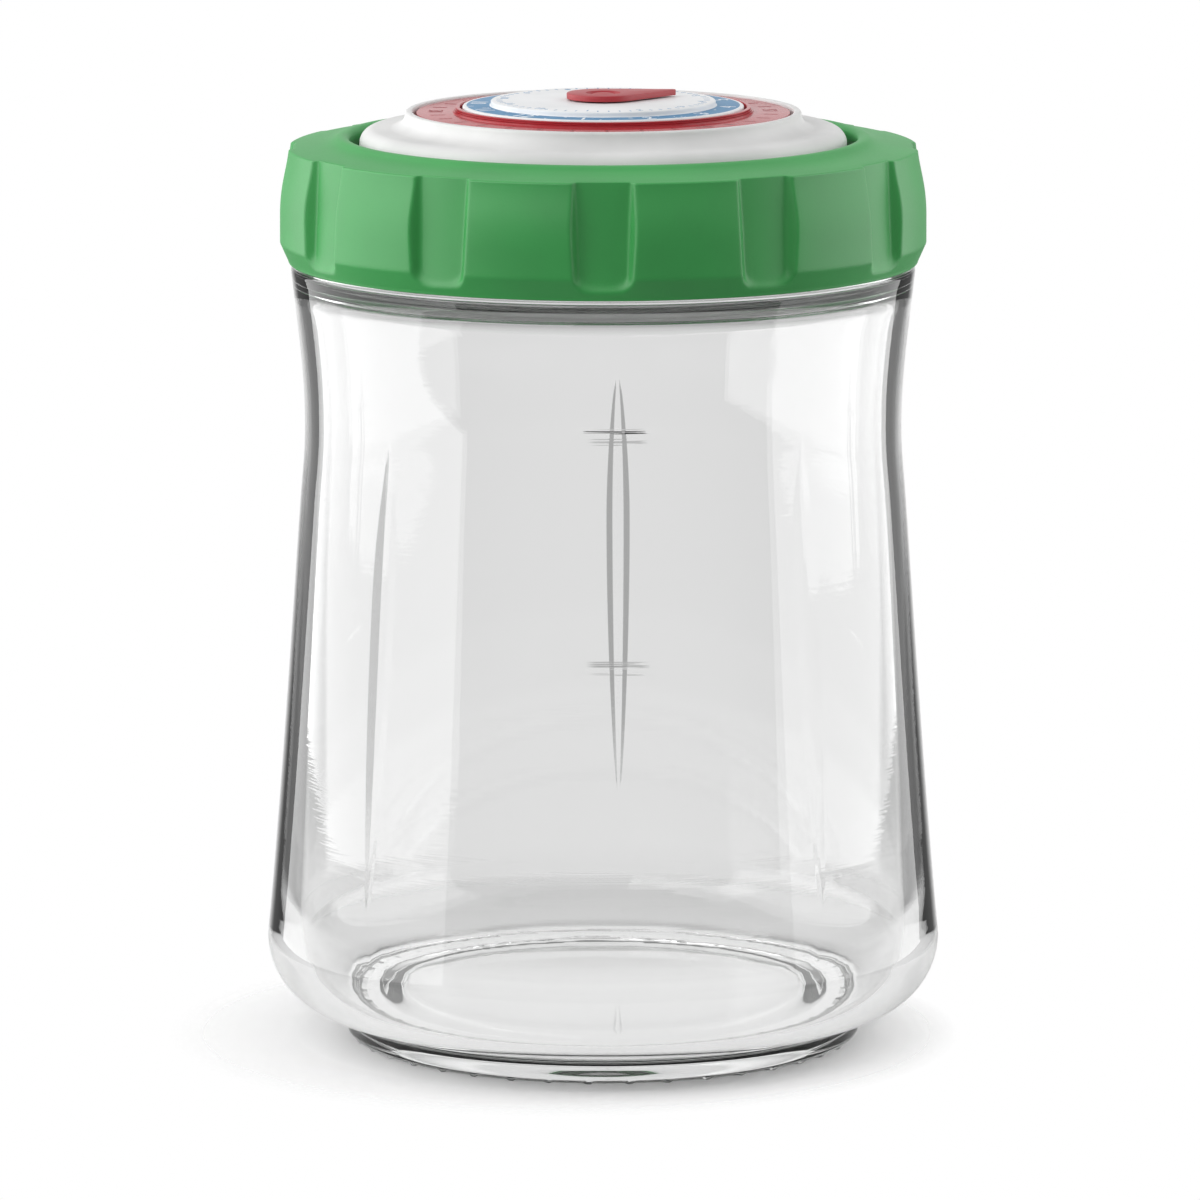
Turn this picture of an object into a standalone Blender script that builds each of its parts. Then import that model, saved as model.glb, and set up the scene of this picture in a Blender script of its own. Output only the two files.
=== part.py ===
"""Wide-mouth glass storage jar with a screw ring, an inner cover and a turning date dial.

The jar stands on the plane z = 0 with its axis on the Z axis and its front towards -Y.
Sizes are in millimetres here, and each mesh is scaled to metres as it is made.
"""
import math

import bmesh
import bpy

MM = 0.001
GAP = 0.3                     # clearance between pieces that touch on the real jar

# Mouth, which the neck, ring, cover and dial are built round
MOUTH_R = 50.0
NECK_WALL = 4.0
NECK_H = 15.4
RIM_ROUND = 0.9

# Jar body: foot, heel, wall and shoulder, turned a little as photographed
JAR_COLUMNS = 80
JAR_TURN = -3.24
BODY_H = 145.2
HEEL_SPREAD = 5.2
HEEL_CURVE = 13.9
HEEL_LEAN_R = 3.05
HEEL_LEAN_H = 32.8
WAIST_DRAW = 2.3
WAIST_DROP = 29.3
WAIST_LEAN_R = 0.8
WAIST_LEAN_H = 9.5
SHOULDER_W = 4.1
SHOULDER_ROUND = 1.4
SHOULDER_LEAN_R = 1.4
SHOULDER_LEAN_H = 14.0
FOOT_H = 5.3
FOOT_INSET = 1.0
FOOT_EDGE_W = 1.0
FOOT_LAND_W = 2.8
NUB_H = 0.5
PUSH_UP_H = 3.0
WALL_LOW = 5.6
WALL_HIGH = 2.7
FLOOR_T = 5.4
FLOOR_ROUND = 11.0

# Upright grooves pressed into the wall, at columns counted from the front one
GROOVE_COLUMNS = (-9, 9, 40)
GROOVE_START = 10.0
GROOVE_END = 25.0
GROOVE_DEPTH = 0.8
GROOVE_HALF_ANGLE = 4.4

# Screw ring, measured outwards from its bore
RING_COLUMNS = 72
RING_BORE_GAP = 2.3
RING_BOTTOM_W = 2.5
RING_LAND_W = 4.13
RING_TOP_W = 2.5
RING_LAND_RISE = 4.1
RING_LAND_H = 5.1
RING_TOP_ROUND = 0.4
RING_LIP_T = 2.0
RING_LIP_REACH = 9.0
RING_CROWN = 2.1
RING_CROWN_W = 1.8
RING_LEAD_IN = 0.9

# Grip flutes round the screw ring
FLUTE_COUNT = 12
FLUTE_WALL = 1.4
FLUTE_TOP_W = 10.1
FLUTE_BOTTOM_W = 8.9
FLUTE_CORNER = 2.3
FLUTE_START = 2.6
FLUTE_DRAFT = 0.6
FLUTE_REACH = 4.5
FLUTE_LEAN = 1.1
FLUTE_SCOOP = 1.9

# Seal between the rim and the inner cover
SEAL_COLUMNS = 44
SEAL_T = 1.3
SEAL_BEAD = 0.35

# Inner cover
COVER_COLUMNS = 44
FLANGE_T = 2.1
FLANGE_SIDE_GAP = 1.7
SHELL_T = 2.0
PLUG_CLEARANCE = 0.6
PLUG_DEPTH = 7.3
COVER_SIDE_GAP = 1.9
COVER_RISE = 5.8
COVER_ROUND = 2.8
COVER_STEP_W = 7.0
BOSS_FLARE = 1.5
BOSS_WALL = 1.4
BOSS_H = 3.2
DIAL_WELL_DEPTH = 2.7
POST_R = 4.2
POST_UNDER = 2.2

# Dial: outer ring, inner disc, pointer and pin
DIAL_COLUMNS = 44
DAY_SIDE_GAP = 0.7
DAY_W = 6.85
DAY_T = 2.1
LIP_W = 1.25
LIP_H = 1.1
DAY_FOOT_T = 1.1
DAY_FOOT_W = 2.3
DISC_SIDE_GAP = 0.5
DISC_BAND_W = 5.25
DISC_BAND_H = 1.3
DISC_CENTRE_H = 0.95
DISC_T = 1.5
HUB_W = 3.4
HUB_CLEARANCE = 0.4
POINTER_T = 1.05
POINTER_HUB_R = 6.8
POINTER_REACH = 14.7
POINTER_TIP_R = 0.6
POINTER_ANGLE = 23.0
SINK_CLEARANCE = 0.4
SINK_SLOPE_W = 0.8
SINK_FLOOR_T = 0.3
PIN_HEAD_R = 2.1
PIN_HEAD_T = 0.4
PIN_SHANK_R = 1.3
PIN_CLEARANCE = 0.35
PIN_DEPTH = 4.9

# Radii that follow from the sizes above
NECK_R = MOUTH_R + NECK_WALL
SHOULDER_R = NECK_R + SHOULDER_W
WAIST_R = SHOULDER_R - WAIST_DRAW
HEEL_R = SHOULDER_R + HEEL_SPREAD
FOOT_OUTER_R = HEEL_R - HEEL_CURVE - FOOT_INSET
FOOT_NUB_R = FOOT_OUTER_R - FOOT_EDGE_W
FOOT_LAND_R = FOOT_NUB_R - FOOT_EDGE_W
FOOT_INNER_R = FOOT_LAND_R - FOOT_LAND_W
RING_BORE_R = NECK_R + RING_BORE_GAP
RING_BOTTOM_R = RING_BORE_R + RING_BOTTOM_W
RING_LAND_R = RING_BORE_R + RING_LAND_W
RING_TOP_R = RING_BORE_R + RING_TOP_W
RING_OPENING_R = RING_BORE_R - RING_LIP_REACH
FLUTE_TOP_R = RING_BORE_R + FLUTE_WALL
FLANGE_R = RING_BORE_R - FLANGE_SIDE_GAP
PLUG_R = MOUTH_R - PLUG_CLEARANCE
COVER_SIDE_R = RING_OPENING_R - COVER_SIDE_GAP
BOSS_BASE_R = COVER_SIDE_R - COVER_STEP_W
BOSS_TOP_R = BOSS_BASE_R - BOSS_FLARE
DIAL_WELL_R = BOSS_TOP_R - BOSS_WALL
DAY_R = DIAL_WELL_R - DAY_SIDE_GAP
LIP_R = DAY_R - DAY_W
LIP_INNER_R = LIP_R - LIP_W
DISC_R = LIP_INNER_R - DISC_SIDE_GAP
DISC_CENTRE_R = DISC_R - DISC_BAND_W
PIN_HOLE_R = PIN_SHANK_R + PIN_CLEARANCE
SINK_FLOOR_R = PIN_HEAD_R + SINK_CLEARANCE

# Heights that follow from the sizes above
HEEL_Z = FOOT_H + HEEL_CURVE
FLOOR_Z = PUSH_UP_H + FLOOR_T
WAIST_Z = BODY_H - WAIST_DROP
SHOULDER_TOP_Z = BODY_H + SHOULDER_ROUND
RIM_Z = SHOULDER_TOP_Z + NECK_H
SEAL_Z = RIM_Z + GAP
FLANGE_Z = SEAL_Z + SEAL_T + GAP
FLANGE_TOP_Z = FLANGE_Z + FLANGE_T
RING_BOTTOM_Z = SHOULDER_TOP_Z + GAP
RING_LIP_Z = FLANGE_TOP_Z + GAP
RING_TOP_Z = RING_LIP_Z + RING_LIP_T
FLUTE_H = RING_TOP_Z - RING_BOTTOM_Z - FLUTE_START
COVER_TOP_Z = FLANGE_TOP_Z + COVER_RISE
BOSS_TOP_Z = COVER_TOP_Z + BOSS_H
WELL_FLOOR_Z = BOSS_TOP_Z - DIAL_WELL_DEPTH
DAY_Z = WELL_FLOOR_Z + GAP
DAY_TOP_Z = DAY_Z + DAY_T
DISC_EDGE_Z = DAY_Z + DAY_FOOT_T + GAP
DISC_BAND_Z = DAY_TOP_Z + DISC_BAND_H
DISC_TOP_Z = DISC_BAND_Z + DISC_CENTRE_H
POST_TOP_Z = DISC_TOP_Z
POINTER_Z = DISC_TOP_Z + GAP
PIN_HEAD_Z = POINTER_Z + SINK_FLOOR_T + GAP
PIN_END_Z = POST_TOP_Z - PIN_DEPTH


def clear_scene():
    """Start from an empty file."""
    for item in list(bpy.data.objects):
        bpy.data.objects.remove(item, do_unlink=True)


def finish(name, colour, roughness, metallic=0.0, alpha=1.0):
    """A plain surface finish."""
    material = bpy.data.materials.new(name)
    material.use_nodes = True
    shader = material.node_tree.nodes["Principled BSDF"]
    shader.inputs["Base Color"].default_value = (*colour, 1.0)
    shader.inputs["Roughness"].default_value = roughness
    shader.inputs["Metallic"].default_value = metallic
    shader.inputs["Alpha"].default_value = alpha
    return material


def arc(centre_r, centre_z, radius, start, end, steps):
    """Points of an arc in the profile plane, angles in degrees from the outward direction."""
    points = []
    for step in range(steps + 1):
        angle = math.radians(start + (end - start) * step / steps)
        points.append((centre_r + radius * math.cos(angle), centre_z + radius * math.sin(angle)))
    return points


def curve(start, pull_a, pull_b, end, steps):
    """Points of a cubic curve through start and end, drawn towards the two pull points."""
    points = []
    for step in range(steps + 1):
        t = step / steps
        u = 1.0 - t
        weights = (u ** 3, 3 * u * u * t, 3 * u * t * t, t ** 3)
        corners = (start, pull_a, pull_b, end)
        r = sum(w * corner[0] for w, corner in zip(weights, corners))
        z = sum(w * corner[1] for w, corner in zip(weights, corners))
        points.append((r, z))
    return points


def turned_mesh(name, outline, columns, closed, first_angle=0.0):
    """Spin an outline of (radius, height) points once round the Z axis."""
    bm = bmesh.new()
    turn = math.radians(first_angle)
    verts = []
    for r, z in outline:
        verts.append(bm.verts.new((r * math.sin(turn), -r * math.cos(turn), z)))
    edges = [bm.edges.new(pair) for pair in zip(verts, verts[1:])]
    if closed:
        edges.append(bm.edges.new((verts[-1], verts[0])))
    bmesh.ops.spin(bm, geom=verts + edges, cent=(0, 0, 0), axis=(0, 0, 1),
                   angle=math.tau, steps=columns, use_merge=True)
    bmesh.ops.remove_doubles(bm, verts=bm.verts, dist=0.001)
    bmesh.ops.recalc_face_normals(bm, faces=bm.faces)
    mesh = bpy.data.meshes.new(name)
    bm.to_mesh(mesh)
    bm.free()
    return mesh


def place(name, mesh, material, sharp=32.0):
    """Scale a millimetre mesh to metres, shade it and put it in the scene."""
    for vertex in mesh.vertices:
        vertex.co *= MM
    mesh.shade_smooth()
    mesh.set_sharp_from_angle(angle=math.radians(sharp))
    piece = bpy.data.objects.new(name, mesh)
    piece.data.materials.append(material)
    bpy.context.scene.collection.objects.link(piece)
    return piece


def jar_wall(steps_low, steps_high):
    """The outer wall from the heel up to the waist and on to the shoulder."""
    low = curve((HEEL_R, HEEL_Z), (HEEL_R - HEEL_LEAN_R, HEEL_Z + HEEL_LEAN_H),
                (WAIST_R + WAIST_LEAN_R, WAIST_Z - WAIST_LEAN_H), (WAIST_R, WAIST_Z), steps_low)
    high = curve((WAIST_R, WAIST_Z), (WAIST_R, WAIST_Z + WAIST_LEAN_H),
                 (SHOULDER_R - SHOULDER_LEAN_R, BODY_H - SHOULDER_LEAN_H),
                 (SHOULDER_R, BODY_H), steps_high)
    return low + high[1:]


def wall_thickness(z):
    """Glass thickness at a height: thicker near the floor, thinner at the waist."""
    share = min(max((z - FLOOR_ROUND) / (WAIST_Z - FLOOR_ROUND), 0.0), 1.0)
    return WALL_LOW + (WALL_HIGH - WALL_LOW) * share


def jar_outline():
    """Half section of the jar, from under the floor's centre round to the floor's top centre."""
    under = [(0.0, PUSH_UP_H), (FOOT_INNER_R - PUSH_UP_H, PUSH_UP_H), (FOOT_INNER_R, 0.0),
             (FOOT_LAND_R, 0.0), (FOOT_NUB_R, 0.0), (FOOT_OUTER_R, NUB_H * 2),
             (FOOT_OUTER_R, FOOT_H - NUB_H)]
    heel = arc(HEEL_R - HEEL_CURVE, HEEL_Z, HEEL_CURVE, -90, 0, 5)
    outer = jar_wall(6, 3)
    shoulder = arc(SHOULDER_R - SHOULDER_ROUND, BODY_H, SHOULDER_ROUND, 0, 90, 2)
    neck = [(NECK_R, SHOULDER_TOP_Z), (NECK_R, RIM_Z - RIM_ROUND), (NECK_R - RIM_ROUND, RIM_Z),
            (MOUTH_R + RIM_ROUND, RIM_Z), (MOUTH_R, RIM_Z - RIM_ROUND)]
    inside = [(MOUTH_R, SHOULDER_TOP_Z + WALL_HIGH)]
    corner_top = FLOOR_Z + FLOOR_ROUND
    for r, z in reversed(jar_wall(3, 2)):
        if z > corner_top:
            inside.append((r - wall_thickness(z), z))
    corner_r = HEEL_R - WALL_LOW - 0.2 - FLOOR_ROUND
    inside += arc(corner_r, corner_top, FLOOR_ROUND, 0, -90, 3)
    return under + heel + outer[1:] + shoulder[1:] + neck + inside + [(0.0, FLOOR_Z)]


def outer_radius(z):
    """Radius of the outer wall at a height."""
    wall = jar_wall(24, 16)
    for (low_r, low_z), (high_r, high_z) in zip(wall, wall[1:]):
        if low_z <= z <= high_z:
            return low_r + (high_r - low_r) * (z - low_z) / (high_z - low_z)
    return 0.0


def lift_between_nubs(mesh, column_of):
    """Lift every other point of the bearing edge, which leaves a ring of nubs on the ground."""
    for vertex in mesh.vertices:
        on_edge = abs(math.hypot(vertex.co.x, vertex.co.y) - FOOT_NUB_R) < 0.01
        if on_edge and vertex.co.z < 0.01 and column_of(vertex) % 2:
            vertex.co.z = NUB_H


def press_grooves(mesh, angle_of):
    """Press the upright grooves into the outer wall, deepest half way up."""
    low_z = HEEL_Z + GROOVE_START
    top_z = BODY_H - GROOVE_END
    for vertex in mesh.vertices:
        r = math.hypot(vertex.co.x, vertex.co.y)
        rise = (vertex.co.z - low_z) / (top_z - low_z)
        if not 0.0 < rise < 1.0 or r < outer_radius(vertex.co.z) - WALL_HIGH / 2:
            continue
        for column in GROOVE_COLUMNS:
            groove = JAR_TURN + column * 360 / JAR_COLUMNS
            away = abs((angle_of(vertex) - groove + 180) % 360 - 180)
            if away < GROOVE_HALF_ANGLE:
                cut = GROOVE_DEPTH * math.sin(math.pi * rise)
                vertex.co.x *= (r - cut) / r
                vertex.co.y *= (r - cut) / r


def make_jar():
    """Clear glass jar, standing on a ring of nubs round its bearing land."""
    pitch = 360.0 / JAR_COLUMNS
    mesh = turned_mesh("glass_jar", jar_outline(), JAR_COLUMNS, False, JAR_TURN)

    def angle_of(vertex):
        return math.degrees(math.atan2(vertex.co.x, -vertex.co.y))

    def column_of(vertex):
        return round((angle_of(vertex) - JAR_TURN) / pitch)

    lift_between_nubs(mesh, column_of)
    press_grooves(mesh, angle_of)
    glass = finish("clear_glass", (0.86, 0.89, 0.88), 0.03, alpha=0.35)
    return place("glass_jar", mesh, glass)


def ring_outline():
    """Half section of the screw ring, from its bottom edge up the outside and down the bore."""
    land_z = RING_BOTTOM_Z + RING_LAND_RISE
    side = curve((RING_LAND_R, land_z + RING_LAND_H),
                 (RING_LAND_R, land_z + RING_LAND_H + 5.6),
                 (RING_TOP_R + 0.5, RING_TOP_Z - 4.2),
                 (RING_TOP_R, RING_TOP_Z - RING_TOP_ROUND), 5)
    crown_z = RING_TOP_Z + RING_CROWN
    top = [(RING_TOP_R - RING_TOP_ROUND, RING_TOP_Z),
           (RING_OPENING_R + 2 * RING_CROWN_W, crown_z - 0.6),
           (RING_OPENING_R + RING_CROWN_W, crown_z),
           (RING_OPENING_R + RING_CROWN_W / 3, crown_z), (RING_OPENING_R, crown_z - 0.5)]
    bore = [(RING_OPENING_R + 0.3, RING_LIP_Z + RING_LIP_T / 2), (RING_OPENING_R + 1.6, RING_LIP_Z),
            (RING_BORE_R, RING_LIP_Z), (RING_BORE_R, RING_BOTTOM_Z + RING_LEAD_IN),
            (RING_BORE_R + RING_LEAD_IN, RING_BOTTOM_Z)]
    return [(RING_BOTTOM_R, RING_BOTTOM_Z), (RING_LAND_R, land_z)] + side + top + bore


def flute_outline(reach, corner_steps):
    """U-shaped outline of one flute across and up, at a distance out from the flute's floor."""
    grow = FLUTE_DRAFT * reach
    half_top = FLUTE_TOP_W / 2 + grow
    half_bottom = FLUTE_BOTTOM_W / 2 + grow
    low = RING_BOTTOM_Z + FLUTE_START - FLUTE_SCOOP * reach
    high = RING_TOP_Z + RING_CROWN
    corner = FLUTE_CORNER + grow
    right = arc(half_bottom - corner, low + corner, corner, -90, 0, corner_steps)
    right.append((half_top, high))
    left = [(-across, up) for across, up in reversed(right)]
    return right + left


def flute_cutter():
    """One body for each grip flute, lofted from the flute's floor outwards."""
    bm = bmesh.new()
    for index in range(FLUTE_COUNT):
        turn = math.tau * index / FLUTE_COUNT
        loops = []
        for reach in (0.0, FLUTE_REACH):
            verts = []
            for across, up in flute_outline(reach, 3):
                radius = FLUTE_TOP_R + reach + FLUTE_LEAN * (RING_TOP_Z - up) / FLUTE_H
                x = across * math.cos(turn) + radius * math.sin(turn)
                y = across * math.sin(turn) - radius * math.cos(turn)
                verts.append(bm.verts.new((x, y, up)))
            bm.faces.new(verts)
            loops += [bm.edges.get(pair) for pair in zip(verts, verts[1:] + verts[:1])]
        bmesh.ops.bridge_loops(bm, edges=loops)
    bmesh.ops.recalc_face_normals(bm, faces=bm.faces)
    mesh = bpy.data.meshes.new("flute_cutter")
    bm.to_mesh(mesh)
    bm.free()
    for vertex in mesh.vertices:
        vertex.co *= MM
    cutter = bpy.data.objects.new("flute_cutter", mesh)
    cutter.hide_render = True
    cutter.display_type = "WIRE"
    bpy.context.scene.collection.objects.link(cutter)
    return cutter


def make_ring():
    """Green screw ring with grip flutes, holding the inner cover down by its top lip."""
    mesh = turned_mesh("screw_ring", ring_outline(), RING_COLUMNS, True, 360.0 / RING_COLUMNS / 2)
    green = finish("green_plastic", (0.084, 0.34, 0.12), 0.42)
    ring = place("screw_ring", mesh, green, 28.0)
    flutes = ring.modifiers.new("grip_flutes", "BOOLEAN")
    flutes.operation = "DIFFERENCE"
    flutes.solver = "EXACT"
    flutes.object = flute_cutter()
    return ring


def make_seal():
    """Soft flat seal on the jar's rim, round the cover's plug."""
    inner = PLUG_R + GAP
    outer = NECK_R
    middle = (inner + outer) / 2
    outline = [(inner, SEAL_Z + SEAL_BEAD), (middle - 0.5, SEAL_Z), (middle + 0.5, SEAL_Z),
               (outer, SEAL_Z + SEAL_BEAD), (outer, SEAL_Z + SEAL_T), (inner, SEAL_Z + SEAL_T)]
    mesh = turned_mesh("cover_seal", outline, SEAL_COLUMNS, True)
    silicone = finish("clear_silicone", (0.72, 0.74, 0.72), 0.5)
    return place("cover_seal", mesh, silicone)


def cover_outline():
    """Half section of the inner cover, from the pin hole's bottom out over the top and back under."""
    shell_under = WELL_FLOOR_Z - SHELL_T
    side_in = COVER_SIDE_R - SHELL_T
    post = [(0.0, PIN_END_Z - GAP), (PIN_HOLE_R, PIN_END_Z - GAP), (PIN_HOLE_R, POST_TOP_Z),
            (POST_R, POST_TOP_Z), (POST_R, WELL_FLOOR_Z)]
    well = [(DIAL_WELL_R, WELL_FLOOR_Z), (DIAL_WELL_R, BOSS_TOP_Z - 0.2), (DIAL_WELL_R + 0.3, BOSS_TOP_Z),
            (BOSS_TOP_R - 0.3, BOSS_TOP_Z), (BOSS_TOP_R, BOSS_TOP_Z - 0.3)]
    flare = curve((BOSS_TOP_R, BOSS_TOP_Z - 0.8), (BOSS_TOP_R + 0.1, COVER_TOP_Z + 1.2),
                  (BOSS_BASE_R - 0.7, COVER_TOP_Z + 0.3), (BOSS_BASE_R + 0.8, COVER_TOP_Z), 3)
    round_top = arc(COVER_SIDE_R - COVER_ROUND, COVER_TOP_Z - COVER_ROUND, COVER_ROUND, 90, 0, 3)
    flange = [(COVER_SIDE_R, FLANGE_TOP_Z), (FLANGE_R, FLANGE_TOP_Z), (FLANGE_R, FLANGE_Z),
              (PLUG_R, FLANGE_Z), (PLUG_R, FLANGE_Z - PLUG_DEPTH),
              (PLUG_R - SHELL_T, FLANGE_Z - PLUG_DEPTH), (PLUG_R - SHELL_T, FLANGE_Z)]
    under = [(side_in, FLANGE_Z), (side_in, shell_under - 1.2), (side_in - 1.2, shell_under),
             (POST_R, shell_under), (POST_R, shell_under - POST_UNDER), (0.0, shell_under - POST_UNDER)]
    return post + well + flare + round_top + flange + under


def make_cover():
    """White inner cover: sealing flange and plug, domed shoulder, and a raised well for the dial."""
    mesh = turned_mesh("cover", cover_outline(), COVER_COLUMNS, False)
    white = finish("white_plastic", (0.78, 0.78, 0.77), 0.5)
    return place("cover", mesh, white, 28.0)


def make_day_ring():
    """Red numbered ring with a raised finger lip, held down by its foot under the inner disc."""
    lip_top = DAY_TOP_Z + LIP_H
    foot_top = DAY_Z + DAY_FOOT_T
    foot_r = LIP_INNER_R - DAY_FOOT_W
    outline = [(DAY_R, DAY_Z), (DAY_R, DAY_TOP_Z - 0.2), (DAY_R - 0.2, DAY_TOP_Z),
               (LIP_R, DAY_TOP_Z), (LIP_R, lip_top - 0.4), (LIP_R - 0.35, lip_top),
               (LIP_INNER_R + 0.2, lip_top), (LIP_INNER_R, lip_top - 0.2), (LIP_INNER_R, foot_top),
               (foot_r, foot_top), (foot_r, DAY_Z)]
    mesh = turned_mesh("day_ring", outline, DIAL_COLUMNS, True)
    red = finish("red_plastic", (0.5, 0.11, 0.105), 0.38)
    return place("day_ring", mesh, red, 28.0)


def make_month_disc():
    """White inner disc with a printed band and a raised centre, turning on the cover's post."""
    hub_in = POST_R + HUB_CLEARANCE
    hub_out = hub_in + HUB_W
    band_under = DISC_BAND_Z - DISC_T
    centre_under = DISC_TOP_Z - DISC_T
    outline = [(hub_in, DAY_Z), (hub_in, DISC_TOP_Z), (DISC_CENTRE_R - 0.2, DISC_TOP_Z),
               (DISC_CENTRE_R, DISC_TOP_Z - 0.2), (DISC_CENTRE_R, DISC_BAND_Z),
               (DISC_R - 0.2, DISC_BAND_Z), (DISC_R, DISC_BAND_Z - 0.2), (DISC_R, DISC_EDGE_Z),
               (DISC_R - DISC_T, DISC_EDGE_Z), (DISC_R - DISC_T, band_under),
               (DISC_CENTRE_R - DISC_T, band_under), (DISC_CENTRE_R - DISC_T, centre_under),
               (hub_out, centre_under), (hub_out, DAY_Z)]
    mesh = turned_mesh("month_disc", outline, DIAL_COLUMNS, True)
    white = finish("white_print", (0.82, 0.83, 0.83), 0.42)
    blue = finish("blue_print", (0.09, 0.23, 0.4), 0.42)
    disc = place("month_disc", mesh, white, 28.0)
    disc.data.materials.append(blue)
    for face in disc.data.polygons:
        r = math.hypot(face.center.x, face.center.y) / MM
        if face.normal.z > 0.9 and DISC_CENTRE_R < r < DISC_R - 0.2:
            face.material_index = 1
    return disc


def pointer_outline():
    """Teardrop seen from above: a round hub with straight sides running to a blunt tip."""
    tip_centre = POINTER_REACH - POINTER_TIP_R
    lean = math.degrees(math.acos((POINTER_HUB_R - POINTER_TIP_R) / tip_centre))
    tip = arc(tip_centre, 0.0, POINTER_TIP_R, -lean, lean, 4)
    hub = arc(0.0, 0.0, POINTER_HUB_R, lean, 360 - lean, 20)
    return tip + hub


def make_pointer():
    """Red pointer over the disc, with a countersunk hub for the pin."""
    bm = bmesh.new()
    verts = [bm.verts.new((x, y, POINTER_Z)) for x, y in pointer_outline()]
    base = bm.faces.new(verts)
    lifted = bmesh.ops.extrude_face_region(bm, geom=[base])
    top = [item for item in lifted["geom"] if isinstance(item, bmesh.types.BMVert)]
    bmesh.ops.translate(bm, verts=top, vec=(0, 0, POINTER_T))
    bmesh.ops.recalc_face_normals(bm, faces=bm.faces)
    mesh = bpy.data.meshes.new("pointer")
    bm.to_mesh(mesh)
    bm.free()
    red = finish("pointer_red", (0.47, 0.115, 0.115), 0.36)
    pointer = place("pointer", mesh, red)
    pointer.rotation_euler = (0.0, 0.0, math.radians(POINTER_ANGLE))
    floor_z = POINTER_Z + SINK_FLOOR_T
    sink_depth = POINTER_T - SINK_FLOOR_T
    outline = [(0.0, floor_z + 2 * sink_depth), (SINK_FLOOR_R + 2 * SINK_SLOPE_W, floor_z + 2 * sink_depth),
               (SINK_FLOOR_R, floor_z), (PIN_HOLE_R, floor_z), (PIN_HOLE_R, POINTER_Z - POINTER_T),
               (0.0, POINTER_Z - POINTER_T)]
    sink_mesh = turned_mesh("pin_sink_cutter", outline, 24, False)
    cutter = place("pin_sink_cutter", sink_mesh, red)
    cutter.hide_render = True
    cutter.display_type = "WIRE"
    sink = pointer.modifiers.new("pin_sink", "BOOLEAN")
    sink.operation = "DIFFERENCE"
    sink.solver = "EXACT"
    sink.object = cutter
    return pointer


def make_pin():
    """Domed pin that holds the pointer and the disc down on the cover's post."""
    outline = [(0.0, PIN_END_Z), (PIN_SHANK_R - 0.2, PIN_END_Z), (PIN_SHANK_R, PIN_END_Z + 0.2),
               (PIN_SHANK_R, PIN_HEAD_Z), (PIN_HEAD_R, PIN_HEAD_Z),
               (PIN_HEAD_R, PIN_HEAD_Z + PIN_HEAD_T / 2), (PIN_HEAD_R / 2, PIN_HEAD_Z + PIN_HEAD_T),
               (0.0, PIN_HEAD_Z + PIN_HEAD_T)]
    mesh = turned_mesh("pointer_pin", outline, 16, False)
    red = finish("pin_red", (0.55, 0.13, 0.12), 0.4)
    return place("pointer_pin", mesh, red)


def main():
    clear_scene()
    make_jar()
    make_ring()
    make_seal()
    make_cover()
    make_day_ring()
    make_month_disc()
    make_pointer()
    make_pin()


main()
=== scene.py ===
"""Looks of a wide-mouth glass storage jar with a fluted screw ring, an inner cover and a date dial.

The jar stands at the origin with its axis on Z and its front towards -Y. Shapes are drawn in
millimetres, and each finished mesh is scaled to metres.
"""

import math

import bmesh
import bpy
from mathutils import Matrix, Vector


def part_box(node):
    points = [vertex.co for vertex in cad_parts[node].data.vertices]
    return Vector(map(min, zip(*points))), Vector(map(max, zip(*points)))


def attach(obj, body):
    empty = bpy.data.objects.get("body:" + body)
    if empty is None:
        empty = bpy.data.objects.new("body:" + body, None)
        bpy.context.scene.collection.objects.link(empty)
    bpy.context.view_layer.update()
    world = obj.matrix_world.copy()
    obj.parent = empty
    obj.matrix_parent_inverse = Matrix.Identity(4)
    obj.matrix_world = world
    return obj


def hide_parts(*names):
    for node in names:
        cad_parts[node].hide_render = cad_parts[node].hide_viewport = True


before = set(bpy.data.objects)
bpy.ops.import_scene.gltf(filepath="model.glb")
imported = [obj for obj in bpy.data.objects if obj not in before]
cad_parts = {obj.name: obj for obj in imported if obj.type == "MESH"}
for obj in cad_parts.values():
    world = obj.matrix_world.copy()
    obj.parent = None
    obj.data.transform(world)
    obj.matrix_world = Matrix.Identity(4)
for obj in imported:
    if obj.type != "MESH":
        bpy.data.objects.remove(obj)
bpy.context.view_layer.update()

MM = 0.001
SLIP = 0.01                   # keeps the widest piece just inside the CAD's envelope
ON_OUTLINE = 0.05             # how near a mesh point lies to the outline that it was turned from


def span(node):
    """Outer radius, lowest height and highest height of a round node, in millimetres."""
    low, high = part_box(node)
    return high[0] / MM, low[2] / MM, high[2] / MM


HEEL_R, GROUND_Z, RIM_Z = span("glass_jar")
HEEL_R -= SLIP
RING_SIDE_R, RING_LOW_Z, RING_HIGH_Z = span("screw_ring")
SEAL_R, SEAL_LOW_Z, SEAL_HIGH_Z = span("cover_seal")
FLANGE_R, PLUG_LOW_Z, POST_TOP_Z = span("cover")
DAY_R, DAY_LOW_Z, LIP_HIGH_Z = span("day_ring")
DISC_R, DISC_LOW_Z, DISC_HIGH_Z = span("month_disc")
POINTER_LOW_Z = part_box("pointer")[0][2] / MM
POINTER_HIGH_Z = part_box("pointer")[1][2] / MM
PIN_HEAD_R, PIN_LOW_Z, PIN_HIGH_Z = span("pointer_pin")

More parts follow.
